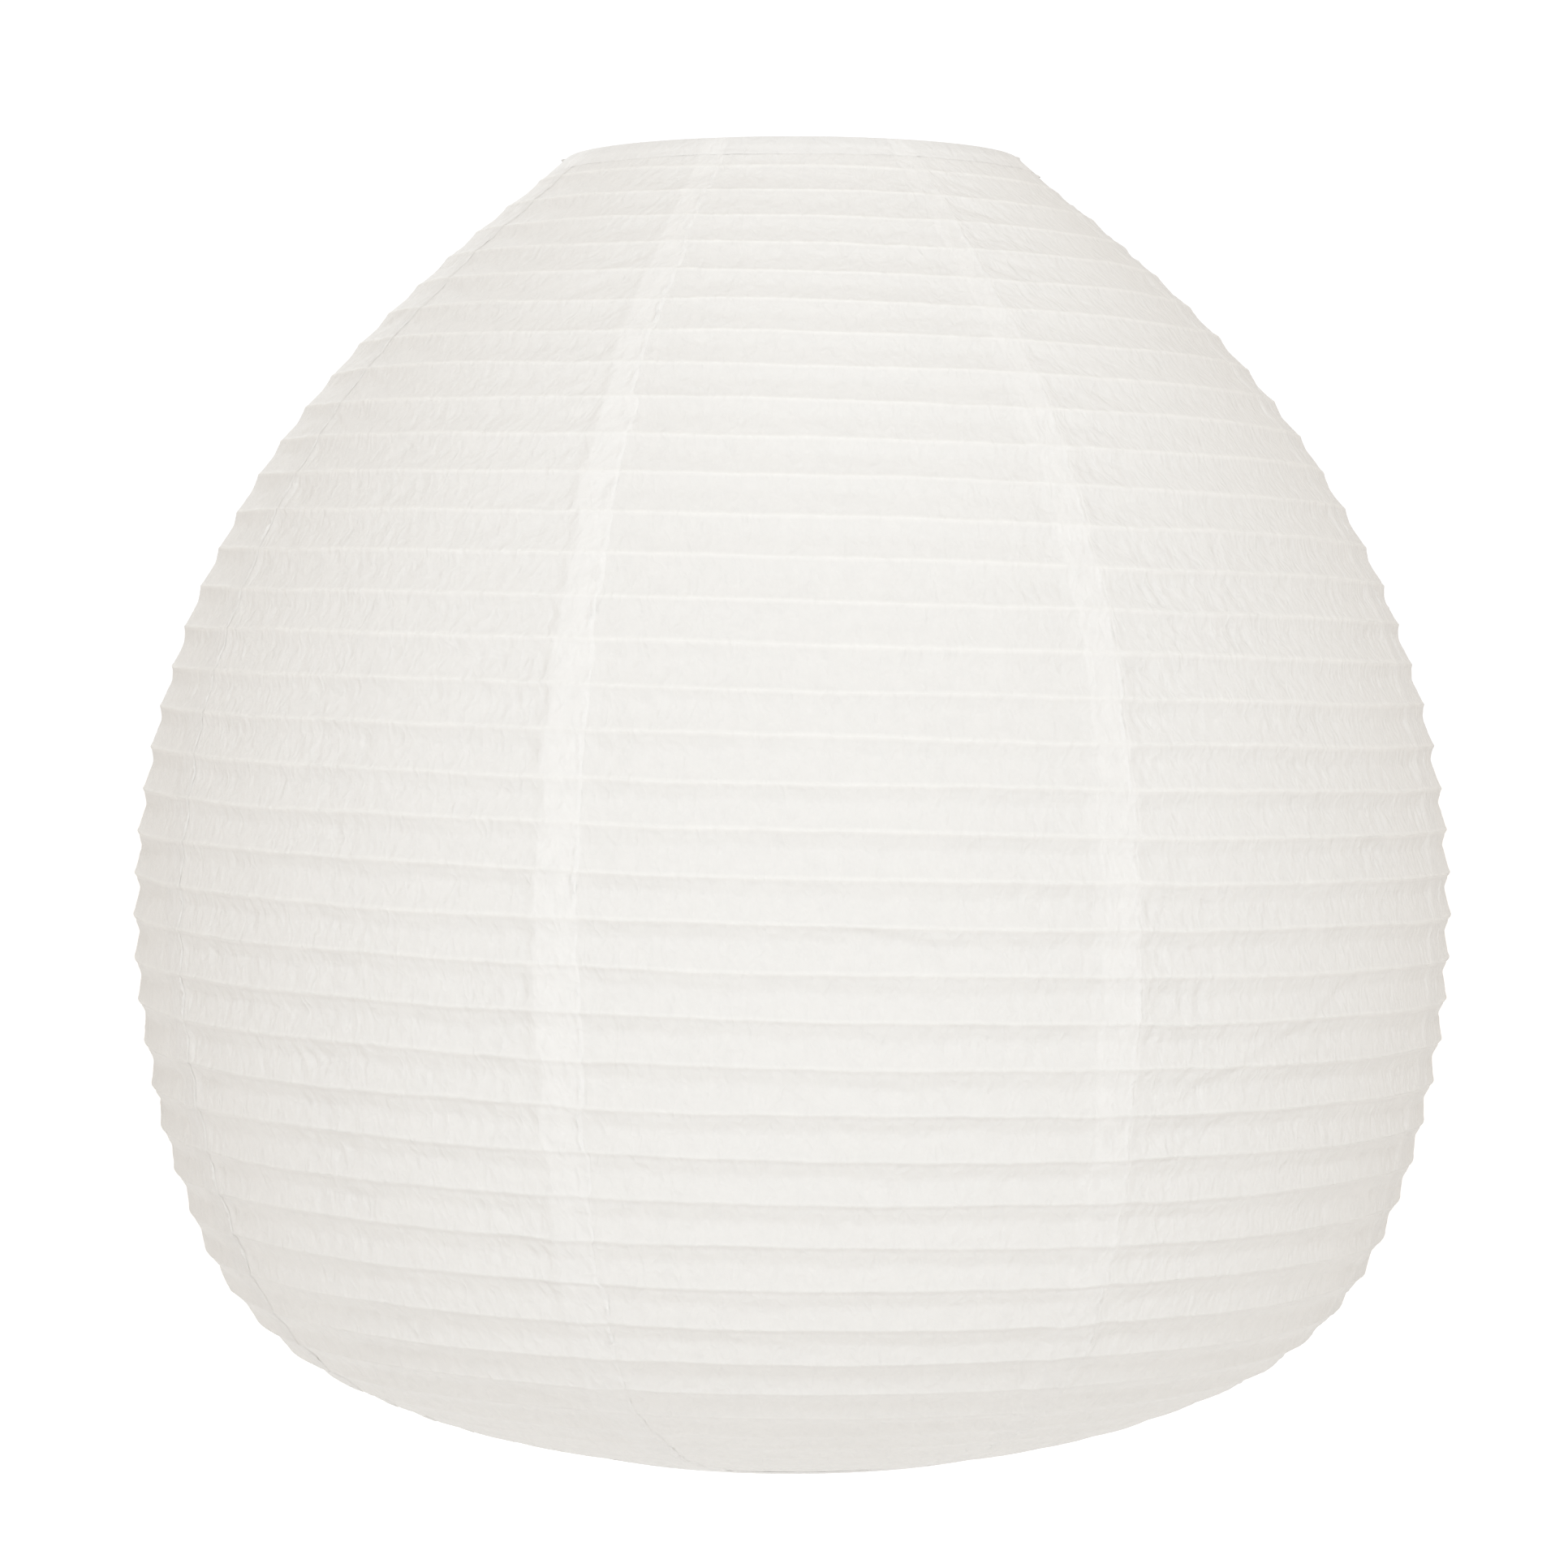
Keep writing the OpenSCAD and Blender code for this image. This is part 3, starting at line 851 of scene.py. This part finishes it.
def rim_tape(name, node, body, s_sign, seed, ears=()):
    """A paper tape folded over a ring, glued to the gores outside and in.
    s_sign is 1 at the top ring and -1 at the bottom one. Each ear is a place
    where the tape stands off in a small point: its angle, how far it lies
    from the tape's outer edge, and how far it reaches."""
    section, flap_rows = tape_section()
    count = len(section)
    length = np.concatenate([[0], np.cumsum(np.hypot(*np.diff(section, axis=0).T))])
    angle = np.arange(TAPE_COLUMNS) * 360 / TAPE_COLUMNS
    angle = np.repeat(angle[None, :], count, 0)
    # From 1 at the outer edge to -1 at the inner one, and small on the round
    flap = np.full((count, 1), 0.12)
    flap[:flap_rows, 0] = np.linspace(1, 0.15, flap_rows)
    flap[-flap_rows:, 0] = -np.linspace(0.15, 1, flap_rows)
    along, out = tape_relief(section, flap_rows, angle, flap, seed)

    # Outside the ring the tape bends with the outline; inside it goes straight
    end_s = 0 if s_sign > 0 else PAPER_LEN
    slope = float(on_paper(end_s)[2])
    bent = place(end_s + s_sign * np.maximum(along, 0), np.zeros_like(angle), out)
    short = s_sign * np.minimum(along, 0)
    r = bent[..., 0] + short * math.cos(slope)
    z = bent[..., 2] - short * math.sin(slope)
    for ear_angle, ear_at, reach in ears:
        aside = (angle - ear_angle + 180) % 360 - 180
        from_ear = length[:, None] - ear_at
        r = r + reach * np.exp(-(aside / 1.5) ** 2) * np.exp(-(from_ear / (1.3 * MM)) ** 2)
    t = np.radians(angle)
    points = np.stack([r * np.cos(t), r * np.sin(t), z], -1)
    flat = np.stack([t * RING_R, np.repeat(length[:, None], TAPE_COLUMNS, 1)], -1)
    layers = tape_whiteness(along, angle, flap)
    # The tape is split beside the ring: its round and inner flap make one piece, and its outer
    # flap another, which rides on the shade with the gores
    outer_rows, inner_rows = slice(0, SPLIT_ROW + 1), slice(SPLIT_ROW, count)
    if s_sign < 0:
        points, flat, layers = points[::-1], flat[::-1], layers[::-1]
        outer_rows, inner_rows = slice(count - SPLIT_ROW - 1, count), slice(0, count - SPLIT_ROW)

    def part_of_tape(part_name, rows, part_body):
        values = {"double": layers[rows], "rib": np.zeros_like(layers[rows])}
        part = grid_object(part_name, points[rows], flat[rows], values, closed=True)
        dress(part, TAPE)
        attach(part, part_body)
        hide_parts(node)
        return part

    tape = part_of_tape(name, inner_rows, body)
    outer_flap = part_of_tape(f"{name}_outer_flap", outer_rows, "shade")
    fold_with_shade(outer_flap)


rim_tape("top_tape", "top_rim_tape", "shade", 1, 70,
         ears=((183, 12 * MM, 2.4 * MM), (357, 0.5 * MM, 1.8 * MM), (352, 12 * MM, 1.2 * MM)))
rim_tape("bottom_tape", "bottom_rim_tape", "shade_bottom", -1, 80)


# The scraps over the rib's ends: degrees round the shade, and width
PATCH_SWEEP = 14.0
PATCH_W = 12 * MM


def rib_patch(name, node, body, s_mid, first_angle):
    """A scrap of paper glued down over one end of the rib, inside. s_mid is
    how far down the outline that end lies."""
    at_bottom = s_mid > PAPER_LEN / 2
    x = np.linspace(0, 1, 46)
    y = np.linspace(-1, 1, 25)
    corner = 0.5 * MM * noise(y * 2 + 4, np.full_like(y, 0.5), 91)
    radius = float(on_paper(s_mid)[0])
    angle = first_angle + PATCH_SWEEP * x[None, :] + np.degrees(corner / radius)[:, None]
    ragged = 0.4 * MM * noise(x * 9, np.full_like(x, 2.5), 92)
    v = (angle - RIB_FROM) / 360 + (RIB_TURNS if at_bottom else 0)
    wire = rib_line(v, angle % 360)
    s = wire + y[:, None] * (PATCH_W / 2) + ragged[None, :] * y[:, None]
    on_wire = (v <= RIB_TURNS) if at_bottom else (v >= 0)
    tent = np.exp(-((s - wire) / (1.3 * MM)) ** 2) * on_wire
    base = rib_out(v, angle % 360) + rise(s)
    # It stays inside the paper, which sags on both sides of the wire
    droop = 0.9 * MM * smooth(np.abs(s - wire), 1.5 * MM, 5.5 * MM)
    if at_bottom:
        droop = np.maximum(droop, 1.3 * MM * smooth(angle - RIB_FROM, -8, 0))
    out = base - 0.95 * MM - 0.75 * MM * tent - droop
    out = out - 0.05 * MM * folds(x[None, :] * 9, y[:, None] * 3, 93)
    points = place(s, angle, out)
    flat = np.stack([np.radians(angle) * radius, s], -1)
    patch = grid_object(name, points[::-1], flat[::-1],
                        {"double": np.ones(s.shape), "rib": np.zeros(s.shape)})
    dress(patch, TAPE)
    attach(patch, body)
    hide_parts(node)
    if not at_bottom:
        fold_with_shade(patch)


rib_patch("rib_top_scrap", "rib_top_patch", "shade", RIB_START, 176)
rib_patch("rib_bottom_scrap", "rib_bottom_patch", "shade_bottom",
          RIB_START + RIB_TURNS * RIB_PITCH, 170)

for node in ("holder_plate", "left_arm", "right_arm", "left_leg", "right_leg", "left_foot",
             "right_foot"):
    dress(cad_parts[node], COATED)
for node in ("top_ring", "bottom_ring"):
    dress(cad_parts[node], STEEL)
for node in ("top_ring_ferrule", "bottom_ring_ferrule"):
    dress(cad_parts[node], PLATED)

# ---------------------------------------------------------------- studio
FLOOR_Z = BOTTOM_Z - 0.45
FLOOR_HALF = 30.0
FLOOR_GLOW = 0.105
SKY = 0.775
BACKDROP = 1.1
LAMP_SIZE = 1.1
MID_Z = (TOP_Z + BOTTOM_Z) / 2


def make_floor():
    """A pale floor that glows a little, and more to the camera. Nothing hides
    the object from a camera below it."""
    h = FLOOR_HALF
    mesh = bpy.data.meshes.new("floor")
    mesh.from_pydata([(-h, -h, FLOOR_Z), (h, -h, FLOOR_Z), (h, h, FLOOR_Z), (-h, h, FLOOR_Z)],
                     [], [(0, 1, 2, 3)])
    floor = bpy.data.objects.new("floor", mesh)
    bpy.context.scene.collection.objects.link(floor)
    n = Nodes("floor")
    pale = n.add("ShaderNodeBsdfDiffuse")
    pale.inputs["Color"].default_value = (0.9, 0.9, 0.9, 1)
    glow = n.add("ShaderNodeEmission")
    glow.inputs["Strength"].default_value = FLOOR_GLOW
    seen = n.add("ShaderNodeEmission")
    seen.inputs["Strength"].default_value = 0.45
    extra = n.add("ShaderNodeMixShader")
    n.link(n.add("ShaderNodeLightPath").outputs["Is Camera Ray"], extra.inputs[0])
    n.link(glow.outputs[0], extra.inputs[1])
    n.link(seen.outputs[0], extra.inputs[2])
    both = n.add("ShaderNodeAddShader")
    n.link(pale.outputs[0], both.inputs[0])
    n.link(extra.outputs[0], both.inputs[1])
    below = n.add("ShaderNodeMixShader")
    n.link(n.add("ShaderNodeNewGeometry").outputs["Backfacing"], below.inputs[0])
    n.link(both.outputs[0], below.inputs[1])
    n.link(n.add("ShaderNodeBsdfTransparent").outputs[0], below.inputs[2])
    n.link(below.outputs[0], n.out.inputs["Surface"])
    mesh.materials.append(n.material)


def make_world():
    """Soft warm light from all round, in front of a white backdrop."""
    world = bpy.data.worlds.new("studio")
    bpy.context.scene.world = world
    world.use_nodes = True
    nodes, links = world.node_tree.nodes, world.node_tree.links
    sky = nodes["Background"]
    sky.inputs["Color"].default_value = (1, 0.940, 0.873, 1)
    sky.inputs["Strength"].default_value = SKY
    backdrop = nodes.new("ShaderNodeBackground")
    backdrop.inputs["Color"].default_value = (1, 1, 1, 1)
    backdrop.inputs["Strength"].default_value = BACKDROP
    choose = nodes.new("ShaderNodeMixShader")
    links.new(nodes.new("ShaderNodeLightPath").outputs["Is Camera Ray"], choose.inputs[0])
    links.new(sky.outputs[0], choose.inputs[1])
    links.new(backdrop.outputs[0], choose.inputs[2])
    links.new(choose.outputs[0], nodes["World Output"].inputs["Surface"])


def soft_light(name, where, power):
    """A cool round lamp that points at the middle of the shade."""
    lamp = bpy.data.lights.new(name, "AREA")
    lamp.shape = "DISK"
    lamp.size = LAMP_SIZE
    lamp.energy = power
    lamp.color = (0.84, 0.93, 1.0)
    obj = bpy.data.objects.new(name, lamp)
    bpy.context.scene.collection.objects.link(obj)
    obj.location = where
    look = Vector((0, 0, MID_Z)) - Vector(where)
    obj.rotation_euler = look.to_track_quat("-Z", "Y").to_euler()


make_floor()
make_world()
soft_light("key", (0.10, -2.9, MID_Z + 1.75), 39)
soft_light("back", (-0.9, 3.0, MID_Z + 1.6), 34)
bpy.context.scene.view_settings.view_transform = "Standard"

# ---------------------------------------------------------------- camera
CAMERA_BACK = 2.19
CAMERA_ASIDE = -0.0037
CAMERA_ABOVE_RING = 0.361
CAMERA_DOWN = math.radians(1.63)
camera = bpy.data.objects.new("camera", bpy.data.cameras.new("camera"))
bpy.context.scene.collection.objects.link(camera)
camera.data.sensor_width = 36
camera.data.lens = 109.5
camera.data.clip_end = 200
camera.location = (CAMERA_ASIDE, -CAMERA_BACK, BOTTOM_Z + CAMERA_ABOVE_RING)
camera.rotation_euler = (math.pi / 2 - CAMERA_DOWN, 0, 0)
bpy.context.scene.camera = camera
